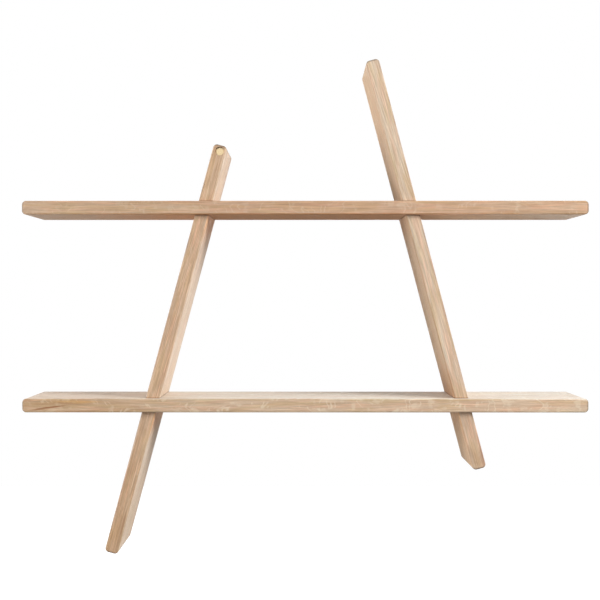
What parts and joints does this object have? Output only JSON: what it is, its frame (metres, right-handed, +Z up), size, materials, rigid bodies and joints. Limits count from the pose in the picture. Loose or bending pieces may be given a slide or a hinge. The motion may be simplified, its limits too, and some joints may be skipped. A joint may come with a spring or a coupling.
{
  "type": "a-frame wall shelf",
  "caption": "Wall-hung open shelf in oak: level boards and uprights leaning together like an A, joined by cross-halving joints, with a plain brass disc sunk in an upright.",
  "frame": {"origin": "the wall plane, at the middle of the upper shelf's back edge, half way up the board's thickness", "axes": "+X along the shelves to the viewer's right, +Y back into the wall, +Z up"},
  "size_m": [0.93, 0.125, 0.8161],
  "materials": {
    "oak": "pale solid oak, sanded and matt oiled",
    "brass": "turned brass, satin face",
    "zinc_plate": "pressed steel, bright zinc plated",
    "screw_steel": "zinc plated steel"
  },
  "bodies": {
    "root": {"upper_shelf": "oak", "lower_shelf": "oak", "left_upright": "oak", "right_upright": "oak", "brass_disc": "brass", "left_hanger_plate": "zinc_plate", "right_hanger_plate": "zinc_plate", "left_hanger_screws": "screw_steel", "right_hanger_screws": "screw_steel"}
  },
  "joints": []
}
